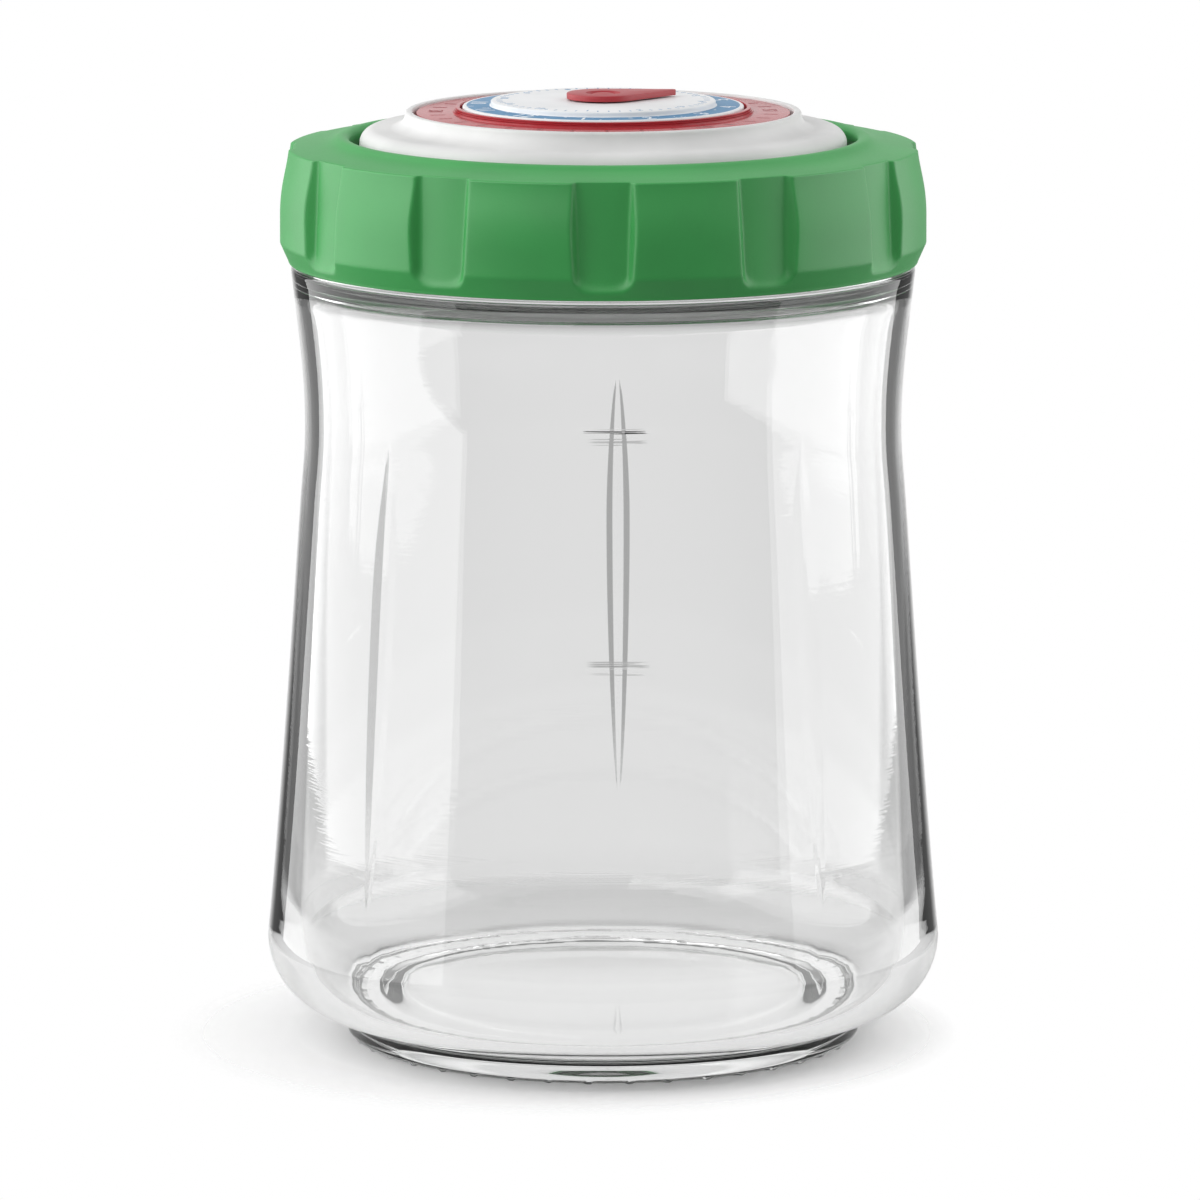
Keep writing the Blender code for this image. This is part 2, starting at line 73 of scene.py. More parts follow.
# Glass jar
JAR_COLUMNS = 384
MOUTH_R = 50.0
NECK_R = 54.0
SHOULDER_R = 58.25
SHOULDER_ROUND = 1.3
SHOULDER_GAP = 0.3
SHOULDER_Z = RING_LOW_Z - SHOULDER_GAP - SHOULDER_ROUND
WAIST_R = 55.8
WAIST_Z = SHOULDER_Z - 29.4
HEEL_ROUND = 13.9
FOOT_Z = 5.3
HEEL_Z = FOOT_Z + HEEL_ROUND
FOOT_R = 48.4
NUB_R = 47.4
LAND_R = 46.4
LAND_INNER_R = 43.6
PUSH_UP = 3.0
PUSH_UP_R = 37.0
FLOOR_Z = 8.4
FLOOR_ROUND = 11.0
WALL_LOW = 5.6
WALL_HIGH = 2.9
RIM_ROUND = 1.6
NUB_COUNT = 40
NUB_LIFT = 0.5
NUB_W = 1.2
NUB_ANGLE = -3.24

# Grooves pressed into the wall: angle from the front, depth, half width and width of a side of each
REAR_ANGLE = 177.0
GROOVES = ((-44.4, 0.36, 3.1, 2.3), (40.4, 0.28, 3.0, 2.4), (REAR_ANGLE, 0.86, 2.5, 1.5))
GROOVE_LOW_Z = HEEL_Z + 10.8
GROOVE_WIDE_Z = WAIST_Z - 27.9
GROOVE_HIGH_Z = WAIST_Z + 3.1

# Columns of the jar's mesh crowd together within CROWD_NEAR degrees of a groove, and spread
# again up to CROWD_FAR
CROWD_NEAR = 10.0
CROWD_FAR = 24.0
CROWD_SHARE = 0.32
CROWD_LOW_Z = FOOT_Z + 0.7
CROWD_HIGH_Z = HEEL_Z + 4.8

# Level marks across the rear groove
LEVEL_HEIGHTS = (105.6, 57.6)
LEVEL_W = 15.0
LEVEL_T = 1.6
LEVEL_RISE = 0.26
LEVEL_END_W = 2.5
LEVEL_EDGE = 0.45

# Screw thread, right-handed with one start
THREAD_PITCH = 5.0
THREAD_HALF_W = 0.95
THREAD_FADE_H = 0.6
NECK_THREAD_LOW_Z = RIM_Z - 11.7
NECK_THREAD_HIGH_Z = RIM_Z - 2.7
NECK_THREAD_H = 1.45
RING_THREAD_LOW_Z = RING_LOW_Z + 1.7
RING_THREAD_HIGH_Z = RING_LOW_Z + 10.5
RING_THREAD_H = 1.25

# Screw ring
RING_COLUMNS = 480
BORE_R = 56.3
RING_BOTTOM_R = 58.8
RING_LAND_R = 60.43
RING_TOP_R = 58.8
RING_OPENING_R = 47.3
LAND_LOW_Z = RING_LOW_Z + 4.1
LAND_HIGH_Z = LAND_LOW_Z + 5.1
RING_TOP_Z = RING_HIGH_Z - 2.1
LIP_UNDER_Z = RING_TOP_Z - 2.0
BEAD_R = RING_OPENING_R + 2.2
FLUTE_COUNT = 12
FLUTE_TOP_W = 10.1
FLUTE_BOTTOM_W = 8.9
FLUTE_CORNER = 2.3
FLUTE_LOW_Z = RING_LOW_Z + 2.6
FLUTE_TOP_R = BORE_R + 1.4
FLUTE_LEAN = 1.1
FLUTE_SIDE_DRAFT = 0.6
FLUTE_END_DRAFT = 1.9
FLUTE_SOFT = 0.3

# Columns of the ring's mesh over half of a flute's sector: share of the columns, and angle reached
FLUTE_SPREAD = ((0.0, 0.0), (0.16, 3.6), (0.78, 6.7), (1.0, 180.0 / FLUTE_COUNT))

# Inner cover
COVER_COLUMNS = 240
PLUG_R = 49.4
PLUG_WALL = 2.0
COVER_SIDE_R = 45.4
COVER_ROUND = 2.8
BOSS_BASE_R = 38.4
BOSS_TOP_R = 36.9
WELL_R = 35.5
POST_R = 4.2
FLANGE_LOW_Z = SEAL_HIGH_Z + 0.3
FLANGE_HIGH_Z = FLANGE_LOW_Z + 2.1
COVER_TOP_Z = FLANGE_HIGH_Z + 5.8
BOSS_TOP_Z = COVER_TOP_Z + 3.2
WELL_FLOOR_Z = BOSS_TOP_Z - 2.7

# Dial
DIAL_COLUMNS = 240
DAY_TOP_Z = DAY_LOW_Z + 2.1
LIP_R = 27.95
LIP_INNER_R = 26.7
DAY_FOOT_R = 24.4
DAY_COUNT = 31
BAND_INNER_R = 20.95
BAND_Z = DAY_TOP_Z + 1.3
MONTH_COUNT = 12
POINTER_HUB_R = 6.8
POINTER_REACH = 14.7
POINTER_TIP_R = 0.6
POINTER_ANGLE = 23.0
PIN_HOLE_R = 1.65
PIN_SHANK_R = 1.3
SINK_FLOOR_R = 2.5
SINK_RIM_R = 3.3
POINTER_EDGE = 0.16
POINTER_SINK_T = 0.3
PRINT_T = 0.04

# Places of the first mark on each dial, in degrees from the front
DAY_START = -80.0
MONTH_START = -9.0

# Print sizes: height of the numbers, and width and length of the dashes
DAY_NUMBER_H = 3.9
DAY_DASH = (0.42, 2.6)
MONTH_NUMBER_H = 4.4
CENTRE_COUNT = 60
CENTRE_NUMBER_H = 2.3
CENTRE_DASH = (0.25, 1.1)

# Glass: its index, its grey per metre, and the ripples of its pressed wall
GLASS_IOR = 1.5
GLASS_TINT = (0.47, 0.50, 0.475, 1.0)
GLASS_DENSITY = 7.0
RIPPLE_LOW_Z = 22.0
RIPPLE_DEPTH = 0.004 * MM
WAVE_DEPTH = 0.2 * MM

# Camera, in metres and degrees, as fitted to the photograph's circles
CAMERA_PLACE = Vector((-0.00060, -1.67364, 0.36279))
CAMERA_AIM = Vector((-0.00060, 0.0, 0.08253))
CAMERA_LENS = 271.0
CAMERA_SENSOR = 36.0

# Soft lamps: name, angle from the front, (distance, sideways shift, height), size and radiance
LAMPS = (("left_softbox", -107.0, (0.55, 0.199, 0.326), (1.06, 0.792), 2.2),
         ("right_softbox", 100.5, (0.55, 0.008, 0.326), (0.786, 0.792), 1.9),
         ("key_softbox", -42.0, (0.95, 0.0, 1.1), (1.1, 1.1), 1.9))
LAMP_MIRROR_LOSS = 0.22

# Light of the studio, where 1 is white
BACKDROP = 0.79
FLAG_LOSS = 0.38
ROOM_DIM = 0.2
ROOM_BEHIND = 0.7
ROOM_OVERHEAD = 0.6
ROOM_BELOW = 0.1
ROOM_BELOW_IN_GLASS = 0.5

# Floor, in metres: the shadow fades out for the camera, and the board for other rays
FLOOR_R = 0.16
FLOOR_COLOUR = (0.92, 0.92, 0.92, 1.0)
SHADOW_R = 0.052
SHADOW_FADE = 0.022
BOARD_R = 0.125
BOARD_FADE = 0.015


class Wire:
    """An output of a node, on which Python's arithmetic adds Math nodes."""

    def __init__(self, finish, socket):
        self.finish = finish
        self.socket = socket

    def math(self, operation, *values):
        """One Math node with this output first."""
        sockets = {0: self}
        for index, value in enumerate(values, 1):
            sockets[index] = value
        return self.finish.node("ShaderNodeMath", {"operation": operation}, sockets)

    def __add__(self, other):
        return self.math("ADD", other)

    __radd__ = __add__

    def __sub__(self, other):
        return self.math("SUBTRACT", other)

    def __rsub__(self, other):
        return (self * -1.0).math("ADD", other)

    def __mul__(self, other):
        return self.math("MULTIPLY", other)

    __rmul__ = __mul__

    def __truediv__(self, other):
        return self.math("DIVIDE", other)

    def __gt__(self, other):
        return self.math("GREATER_THAN", other)

    def __lt__(self, other):
        return self.math("LESS_THAN", other)

    def clamped(self):
        """This value kept between 0 and 1."""
        return self.math("MAXIMUM", 0.0).math("MINIMUM", 1.0)


class Finish:
    """A node tree of a material or the world, with one method that adds a node."""

    def __init__(self, owner):
        owner.use_nodes = True
        self.owner = owner
        self.tree = owner.node_tree

    def node(self, kind, settings=None, sockets=None, output=0):
        """Add a node, set it up, fill or link its sockets, and return one of its outputs."""
        made = self.tree.nodes.new(kind)
        for key, value in (settings or {}).items():
            if key == "stops":
                self.set_stops(made.color_ramp, value)
            else:
                setattr(made, key, value)
        for key, value in (sockets or {}).items():
            self.feed(made.inputs[key], value)
        return Wire(self, made.outputs[output])

    def feed(self, socket, value):
        """Link a wire to a socket, or write a value on it."""
        if isinstance(value, Wire):
            self.tree.links.new(value.socket, socket)
        else:
            socket.default_value = value

    def set_stops(self, ramp, stops):
        """Give a colour ramp its stops."""
        while len(ramp.elements) < len(stops):
            ramp.elements.new(0.5)
        for element, (place, colour) in zip(ramp.elements, stops):
            element.position = place
            element.color = (*colour, 1.0)

    def place(self, stretch=(1.0, 1.0, 1.0)):
        """The object's own coordinates, stretched."""
        own = self.node("ShaderNodeTexCoord", output="Object")
        return self.node("ShaderNodeMapping", {}, {"Vector": own, "Scale": stretch})

    def noise(self, scale, detail=2.0, roughness=0.5, stretch=(1.0, 1.0, 1.0)):
        """Noise over the piece, with its scale in features per metre."""
        sockets = {"Vector": self.place(stretch), "Scale": scale, "Detail": detail, "Roughness": roughness}
        return self.node("ShaderNodeTexNoise", {}, sockets)

    def from_axis(self):
        """Distance from the jar's axis, in metres."""
        own = self.node("ShaderNodeTexCoord", output="Object")
        flat = self.node("ShaderNodeVectorMath", {"operation": "MULTIPLY"}, {0: own, 1: (1.0, 1.0, 0.0)})
        return self.node("ShaderNodeVectorMath", {"operation": "LENGTH"}, {0: flat}, output="Value")

    def height(self):
        """Height over the ground, in metres."""
        own = self.node("ShaderNodeTexCoord", output="Object")
        return self.node("ShaderNodeSeparateXYZ", {}, {0: own}, output="Z")

    def mix(self, factor, colour_a, colour_b):
        """A colour between two others."""
        sockets = {"Factor": factor, "A": colour_a, "B": colour_b}
        return self.node("ShaderNodeMix", {"data_type": "RGBA"}, sockets, output="Result")


def plastic(name, colour, roughness, grain, grain_depth, specular=0.5):
    """Moulded plastic with a fine spark-eroded grain and a little change in tone.

    Returns the finish, its shader and its base colour.
    """
    finish = Finish(bpy.data.materials.new(name))
    shader = finish.tree.nodes["Principled BSDF"]
    tone = finish.noise(60.0, 3.0)
    dark = tuple(value * 0.93 for value in colour)
    light = tuple(min(value * 1.06, 1.0) for value in colour)
    base = finish.node("ShaderNodeValToRGB", {"stops": [(0.3, dark), (0.7, light)]}, {0: tone})
    finish.feed(shader.inputs["Base Color"], base)
    fine = finish.noise(grain, 2.0, 0.6)
    finish.feed(shader.inputs["Roughness"], roughness - 0.05 + fine * 0.1)
    bump = finish.node("ShaderNodeBump", {}, {"Strength": 1.0, "Distance": grain_depth * MM, "Height": fine})
    finish.feed(shader.inputs["Normal"], bump)
    shader.inputs["Specular IOR Level"].default_value = specular
    return finish, shader, base


def glass_finish():
    """Clear pressed glass with faint ripples and a slight grey in its depth."""
    finish = Finish(bpy.data.materials.new("clear_pressed_glass"))
    shader = finish.tree.nodes["Principled BSDF"]
    shader.inputs["Base Color"].default_value = (1.0, 1.0, 1.0, 1.0)
    shader.inputs["Transmission Weight"].default_value = 1.0
    shader.inputs["IOR"].default_value = GLASS_IOR
    shader.inputs["Roughness"].default_value = 0.0
    wall = ((finish.height() - RIPPLE_LOW_Z * MM) * 60.0).clamped()
    ripple = finish.noise(45.0, 1.0, 0.5, (1.0, 1.0, 40.0)) * wall
    wave = finish.noise(14.0, 1.0, 0.4) * wall
    bump = finish.node("ShaderNodeBump", {}, {"Strength": 1.0, "Distance": RIPPLE_DEPTH, "Height": ripple})
    bump = finish.node("ShaderNodeBump", {},
                       {"Strength": 1.0, "Distance": WAVE_DEPTH, "Height": wave, "Normal": bump})
    finish.feed(shader.inputs["Normal"], bump)
    depth = finish.node("ShaderNodeVolumeAbsorption", {}, {"Color": GLASS_TINT, "Density": GLASS_DENSITY})
    finish.feed(finish.tree.nodes["Material Output"].inputs["Volume"], depth)
    return finish.owner


def green_finish():
    """Satin green plastic of the screw ring."""
    return plastic("satin_green_plastic", (0.024, 0.325, 0.06), 0.44, 2600.0, 0.012, 0.8)[0].owner


def white_finish():
    """Matt white plastic of the inner cover."""
    return plastic("matt_white_plastic", (0.715, 0.715, 0.71), 0.55, 2200.0, 0.02, 0.4)[0].owner


def red_finish(name, colour, roughness):
    """Smooth red plastic of the dial's moving pieces."""
    return plastic(name, colour, roughness, 2600.0, 0.008)[0].owner


def disc_finish():
    """White plastic disc with a printed blue band round its raised centre."""
    finish, shader, base = plastic("white_plastic_blue_band", (0.82, 0.83, 0.84), 0.42, 2600.0, 0.008)
    out = finish.from_axis()
    flat = finish.height() < (BAND_Z + 0.3) * MM
    inside = (out > (BAND_INNER_R + 0.25) * MM) * (out < (DISC_R - 0.75) * MM) * flat
    worn = (finish.noise(700.0, 3.0) > 0.33) * inside
    blue = finish.mix(finish.noise(300.0), (0.05, 0.19, 0.37, 1.0), (0.07, 0.25, 0.45, 1.0))
    finish.feed(shader.inputs["Base Color"], finish.mix(worn, base, blue))
    return finish.owner


def ink_finish(name, colour):
    """Pad-printed ink, a little uneven."""
    finish = Finish(bpy.data.materials.new(name))
    shader = finish.tree.nodes["Principled BSDF"]
    light = tuple(min(value * 1.25 + 0.01, 1.0) for value in colour)
    uneven = finish.node("ShaderNodeValToRGB", {"stops": [(0.35, colour), (0.75, light)]},
                         {0: finish.noise(900.0, 2.0)})
    finish.feed(shader.inputs["Base Color"], uneven)
    finish.feed(shader.inputs["Roughness"], 0.4 + finish.noise(1500.0) * 0.15)
    return finish.owner


def silicone_finish():
    """Soft, slightly cloudy silicone of the seal."""
    finish = Finish(bpy.data.materials.new("cloudy_silicone"))
    shader = finish.tree.nodes["Principled BSDF"]
    cloud = finish.noise(120.0, 3.0)
    colour = finish.mix(cloud, (0.70, 0.72, 0.70, 1.0), (0.80, 0.82, 0.80, 1.0))
    finish.feed(shader.inputs["Base Color"], colour)
    finish.feed(shader.inputs["Roughness"], 0.42 + cloud * 0.12)
    return finish.owner


def arc(centre_r, centre_z, radius, start, end, steps):
    """Points of an arc in the profile plane, angles in degrees from the outward direction."""
    points = []
    for step in range(steps + 1):
        angle = math.radians(start + (end - start) * step / steps)
        points.append((centre_r + radius * math.cos(angle), centre_z + radius * math.sin(angle)))
    return points


def curve(start, pull_a, pull_b, end, steps):
    """Points of a cubic curve through start and end, drawn towards the two pull points."""
    points = []
    for step in range(steps + 1):
        t = step / steps
        u = 1.0 - t
        weights = (u ** 3, 3 * u * u * t, 3 * u * t * t, t ** 3)
        corners = (start, pull_a, pull_b, end)
        r = sum(weight * corner[0] for weight, corner in zip(weights, corners))
        z = sum(weight * corner[1] for weight, corner in zip(weights, corners))
        points.append((r, z))
    return points


def line(start, end, steps):
    """Points of a straight stretch, with both ends."""
    points = []
    for step in range(steps + 1):
        t = step / steps
        points.append((start[0] + (end[0] - start[0]) * t, start[1] + (end[1] - start[1]) * t))
    return points


def joined(*stretches):
    """One outline from stretches, with points that fall together left out."""
    outline = []
    for stretch in stretches:
        for point in stretch:
            if not outline or math.dist(point, outline[-1]) > 0.01:
                outline.append(point)
    return outline


def turned(outline, columns, closed):
    """Spin an outline of (radius, height) points once round the axis, in millimetres.

    A sixteenth of the turn is spun, and turned copies of it make up the rest.
    """
    parts = 16
    section = bmesh.new()
    verts = [section.verts.new((0.0, -r, z)) for r, z in outline]
    edges = [section.edges.new(pair) for pair in zip(verts, verts[1:])]
    if closed:
        edges.append(section.edges.new((verts[-1], verts[0])))
    bmesh.ops.spin(section, geom=verts + edges, cent=(0, 0, 0), axis=(0, 0, 1),
                   angle=math.tau / parts, steps=columns // parts)
    mesh = bpy.data.meshes.new("section")
    section.to_mesh(mesh)
    section.free()
    bm = bmesh.new()
    for part in range(parts):
        bm.from_mesh(mesh)
        mesh.transform(Matrix.Rotation(math.tau / parts, 4, "Z"))
    bpy.data.meshes.remove(mesh)
    bmesh.ops.remove_doubles(bm, verts=bm.verts, dist=0.001)
    bmesh.ops.recalc_face_normals(bm, faces=bm.faces)
    return bm


def angle_of(point):
    """Angle round the axis in degrees, from the front and towards +X."""
    return math.degrees(math.atan2(point.x, -point.y))


def apart(angle_a, angle_b):
    """How far two angles lie apart, in degrees."""
    return abs((angle_a - angle_b + 180.0) % 360.0 - 180.0)


def set_radius(point, radius):
    """Move a point straight out from or in to the axis."""
    now = math.hypot(point.x, point.y)
    point.x *= radius / now
    point.y *= radius / now


def swell(distance, half_width):
    """A rounded bump: 1 in the middle, 0 from half_width on."""
    if distance >= half_width:
        return 0.0
    return 0.5 + 0.5 * math.cos(math.pi * distance / half_width)


def ramp(value, low, high):
    """Rise smoothly from 0 at low to 1 at high."""
    t = min(max((value - low) / (high - low), 0.0), 1.0)
    return t * t * (3.0 - 2.0 * t)


def soft_min(a, b, blend):
    """The smaller of two numbers, rounded where they meet."""
    return (a + b - math.sqrt((a - b) ** 2 + blend ** 2)) / 2


def thread_share(point, low_z, high_z):
    """How much of the thread's height stands at a place on a neck or bore."""
    rise = THREAD_PITCH * math.radians(angle_of(point)) / math.tau
    turn = round((point.z - low_z - rise) / THREAD_PITCH)
    ridge_z = low_z + rise + turn * THREAD_PITCH
    ends = ramp(ridge_z, low_z, low_z + THREAD_FADE_H) * ramp(high_z - ridge_z, 0.0, THREAD_FADE_H)
    return ends * swell(abs(point.z - ridge_z), THREAD_HALF_W) ** 0.7


def finished(name, bm, finish, body, nodes, sharp=35.0):
    """Make a mesh in millimetres an object in metres that rides on its body."""
    bmesh.ops.scale(bm, vec=(MM, MM, MM), verts=bm.verts)
    mesh = bpy.data.meshes.new(name)
    bm.to_mesh(mesh)
    bm.free()
    mesh.shade_smooth()
    mesh.set_sharp_from_angle(angle=math.radians(sharp))
    mesh.materials.append(finish)
    piece = bpy.data.objects.new(name, mesh)
    bpy.context.scene.collection.objects.link(piece)
    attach(piece, body)
    if nodes:
        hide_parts(*nodes)
    return piece


def jar_wall(low_steps, high_steps):
    """The outer wall from the heel up to the waist, round the waist and on to the shoulder."""
    low = curve((HEEL_R, HEEL_Z), (HEEL_R - 3.25, HEEL_Z + 32.8), (WAIST_R + 1.3, WAIST_Z - 17.0),
                (WAIST_R + 0.55, WAIST_Z - 9.5), low_steps)
    waist = curve((WAIST_R + 0.55, WAIST_Z - 9.5), (WAIST_R + 0.18, WAIST_Z - 5.5),
                  (WAIST_R - 0.14, WAIST_Z - 2.0), (WAIST_R + 0.1, WAIST_Z + 5.0), high_steps // 2)
    high = curve((WAIST_R + 0.1, WAIST_Z + 5.0), (WAIST_R + 0.34, WAIST_Z + 12.0),
                 (SHOULDER_R - 1.2, SHOULDER_Z - 11.0), (SHOULDER_R, SHOULDER_Z), high_steps)
    return joined(low, waist, high)


def jar_outline():
    """Half section of the jar, from under the floor's centre round to the floor's top centre."""
    under = joined(curve((0.0, PUSH_UP + 0.2), (16.0, PUSH_UP + 0.2), (28.0, PUSH_UP),
                         (PUSH_UP_R, PUSH_UP), 6),
                   curve((PUSH_UP_R, PUSH_UP), (PUSH_UP_R + 2.5, PUSH_UP), (PUSH_UP_R + 4.0, 1.2),
                         (LAND_INNER_R, GROUND_Z), 7),
                   line((LAND_INNER_R, GROUND_Z), (LAND_R, GROUND_Z), 2))
    foot = joined([(NUB_R, GROUND_Z)], curve((NUB_R + 0.35, 0.55), (FOOT_R - 0.1, 0.9), (FOOT_R, 1.4),
                                             (FOOT_R, 2.0), 4),
                  [(FOOT_R, 4.0)], curve((FOOT_R, 4.0), (FOOT_R + 0.05, 4.7), (FOOT_R + 0.4, 5.1),
                                         (HEEL_R - HEEL_ROUND + 0.6, FOOT_Z + 0.02), 3))
    heel = arc(HEEL_R - HEEL_ROUND, HEEL_Z, HEEL_ROUND, -84, 0, 14)
    shoulder = arc(SHOULDER_R - SHOULDER_ROUND, SHOULDER_Z, SHOULDER_ROUND, 0, 90, 7)
    neck_foot_z = SHOULDER_Z + SHOULDER_ROUND
    neck = joined(curve((SHOULDER_R - SHOULDER_ROUND, neck_foot_z), (NECK_R + 0.6, neck_foot_z),
                        (NECK_R, neck_foot_z + 0.2), (NECK_R, neck_foot_z + 0.9), 4),
                  line((NECK_R, neck_foot_z + 0.9), (NECK_R, RIM_Z - RIM_ROUND), 30))
    rim = joined(arc(NECK_R - RIM_ROUND, RIM_Z - RIM_ROUND, RIM_ROUND, 0, 90, 5),
                 arc(MOUTH_R + RIM_ROUND, RIM_Z - RIM_ROUND, RIM_ROUND, 90, 180, 5))
    bend_z = SHOULDER_Z - 3.4
    mouth = joined(line((MOUTH_R, RIM_Z - RIM_ROUND), (MOUTH_R, neck_foot_z + 1.4), 2),
                   curve((MOUTH_R, neck_foot_z + 1.4), (MOUTH_R, neck_foot_z - 1.4),
                         (SHOULDER_R - WALL_HIGH - 1.2, SHOULDER_Z + 0.4),
                         (SHOULDER_R - WALL_HIGH - 0.5, bend_z), 12))
    inside = []
    corner_z = FLOOR_Z + FLOOR_ROUND
    for r, z in reversed(jar_wall(22, 10)):
        if corner_z + 1.0 < z < bend_z - 1.0:
            share = min(max((WAIST_Z - z) / (WAIST_Z - corner_z), 0.0), 1.0) ** 1.7
            inside.append((r - WALL_HIGH - (WALL_LOW - WALL_HIGH) * share, z))
    corner = arc(HEEL_R - WALL_LOW - 0.2 - FLOOR_ROUND, corner_z, FLOOR_ROUND, 0, -76, 10)
    floor = joined([(corner[-1][0] - 1.2, FLOOR_Z)], line((40.0, FLOOR_Z), (0.0, FLOOR_Z), 5))
    return joined(under, foot, heel, jar_wall(40, 20), shoulder, neck, rim, mouth, inside, corner, floor)


OUTER_WALL = [(z, r) for r, z in jar_wall(40, 20)]


def on_outer_wall(r, z):
    """Whether a point of the jar at this radius and height lies on its outer wall."""
    for (low_z, low_r), (high_z, high_r) in zip(OUTER_WALL, OUTER_WALL[1:]):
        if low_z <= z <= high_z:
            return r > min(low_r, high_r) - 0.5
    return False


def groove_reach(z):
    """Width and depth of the grooves at a height, as a share of the most."""
    if not GROOVE_LOW_Z < z < GROOVE_HIGH_Z:
        return 0.0
    end = GROOVE_HIGH_Z if z > GROOVE_WIDE_Z else GROOVE_LOW_Z
    return math.sin(math.pi / 2 * (z - end) / (GROOVE_WIDE_Z - end)) ** 0.7


def drawn_to_groove(angle, z):
    """Angle of a column of the jar, where the columns crowd together along the grooves."""
    crowd = 1.0 + (CROWD_SHARE * max(groove_reach(z), 0.3) - 1.0) * ramp(z, CROWD_LOW_Z, CROWD_HIGH_Z)
    near = CROWD_NEAR * crowd
    for groove, _, _, _ in GROOVES:
        off = (angle - groove + 180.0) % 360.0 - 180.0
        if abs(off) < CROWD_NEAR:
            return groove + off * crowd
        if abs(off) < CROWD_FAR:
            drawn = near + (abs(off) - CROWD_NEAR) * (CROWD_FAR - near) / (CROWD_FAR - CROWD_NEAR)
            return groove + math.copysign(drawn, off)
    return angle


def shape_jar_point(point):
    """Press the nubs, grooves, level marks and thread into one point of the jar's outer side."""
    r = math.hypot(point.x, point.y)
    if r < 1.0:
        return
    angle = drawn_to_groove(angle_of(point), point.z)
    point.x = r * math.sin(math.radians(angle))
    point.y = -r * math.cos(math.radians(angle))
    if point.z < 0.3 and r > LAND_R + 0.5:
        pitch = 360.0 / NUB_COUNT
        off = abs((angle - NUB_ANGLE + pitch / 2) % pitch - pitch / 2) * math.radians(NUB_R)
        point.z += NUB_LIFT * ramp(off, NUB_W / 2 - 0.1, NUB_W / 2 + 0.5)
    if on_outer_wall(r, point.z) and GROOVE_LOW_Z < point.z < GROOVE_HIGH_Z:
        reach = groove_reach(point.z)
        for groove, depth, half_w, side_w in GROOVES:
            across = math.radians(apart(angle, groove)) * r
            if across < half_w * reach:
                r -= depth * min((half_w * reach - across) / side_w, reach)
        for level_z in LEVEL_HEIGHTS:
            across = math.radians(apart(angle, REAR_ANGLE)) * r
            if across < LEVEL_W / 2 and abs(point.z - level_z) < LEVEL_T / 2 + ON_OUTLINE:
                r += LEVEL_RISE * (1.0 - ramp(across, LEVEL_W / 2 - LEVEL_END_W, LEVEL_W / 2))
        set_radius(point, r)
    if abs(r - NECK_R) < ON_OUTLINE and point.z < RIM_Z - RIM_ROUND:
        share = thread_share(point, NECK_THREAD_LOW_Z, NECK_THREAD_HIGH_Z)
        set_radius(point, NECK_R + NECK_THREAD_H * share)


def make_jar():
    """Clear glass jar with its foot nubs, grooves, level marks and neck thread."""
    bm = turned(jar_outline(), JAR_COLUMNS, False)
    for level_z in LEVEL_HEIGHTS:
        for edge in (-LEVEL_EDGE, 0.0, LEVEL_EDGE):
            for side in (-1, 1):
                cut_z = level_z + side * LEVEL_T / 2 + edge * side
                geometry = bm.verts[:] + bm.edges[:] + bm.faces[:]
                bmesh.ops.bisect_plane(bm, geom=geometry, plane_co=(0, 0, cut_z), plane_no=(0, 0, 1))
    for vert in bm.verts:
        shape_jar_point(vert.co)
    return finished("jar_body", bm, glass_finish(), "jar", ["glass_jar"], 60.0)


def ring_outline():
    """Half section of the screw ring, from its bottom edge up the outside and down the bore."""
    low = joined(arc(RING_BOTTOM_R - 0.35, RING_LOW_Z + 0.35, 0.35, -90, -10, 3),
                 line((RING_BOTTOM_R, RING_LOW_Z + 0.4), (RING_LAND_R - 0.08, LAND_LOW_Z - 0.25), 13))
    side = joined([(RING_LAND_R, LAND_LOW_Z + 0.15)],
                  line((RING_LAND_R, LAND_LOW_Z + 0.6), (RING_LAND_R, LAND_HIGH_Z), 10),
                  curve((RING_LAND_R, LAND_HIGH_Z), (RING_LAND_R, LAND_HIGH_Z + 5.6),
                        (RING_TOP_R + 0.5, RING_TOP_Z - 4.2), (RING_TOP_R, RING_TOP_Z - 0.4), 26))
    top = joined(arc(RING_TOP_R - 0.4, RING_TOP_Z - 0.35, 0.4, 8, 72, 4),
                 curve((RING_TOP_R - 0.9, RING_TOP_Z + 0.08), (RING_TOP_R - 4.0, RING_TOP_Z + 0.55),
                       (BEAD_R + 2.2, RING_TOP_Z + 0.55), (BEAD_R + 0.6, RING_HIGH_Z - 0.55), 12),
                 curve((BEAD_R + 0.6, RING_HIGH_Z - 0.55), (BEAD_R, RING_HIGH_Z - 0.1),
                       (BEAD_R - 0.3, RING_HIGH_Z), (BEAD_R - 0.9, RING_HIGH_Z), 4),
                 curve((BEAD_R - 0.9, RING_HIGH_Z), (RING_OPENING_R + 0.3, RING_HIGH_Z),
                       (RING_OPENING_R, RING_HIGH_Z - 0.5), (RING_OPENING_R, RING_HIGH_Z - 1.3), 6))
    lip = joined(curve((RING_OPENING_R, RING_HIGH_Z - 1.3), (RING_OPENING_R, RING_HIGH_Z - 2.6),
                       (RING_OPENING_R + 0.8, LIP_UNDER_Z + 0.4), (RING_OPENING_R + 1.8, LIP_UNDER_Z), 6),
                 line((RING_OPENING_R + 1.8, LIP_UNDER_Z), (BORE_R - 0.5, LIP_UNDER_Z), 3))
    bore = joined(arc(BORE_R - 0.5, LIP_UNDER_Z - 0.5, 0.5, 90, 0, 3),
                  line((BORE_R, LIP_UNDER_Z - 0.5), (BORE_R, RING_LOW_Z + 0.9), 42),
                  [(BORE_R + 0.9, RING_LOW_Z)])
    return joined(low, side, top, lip, bore)


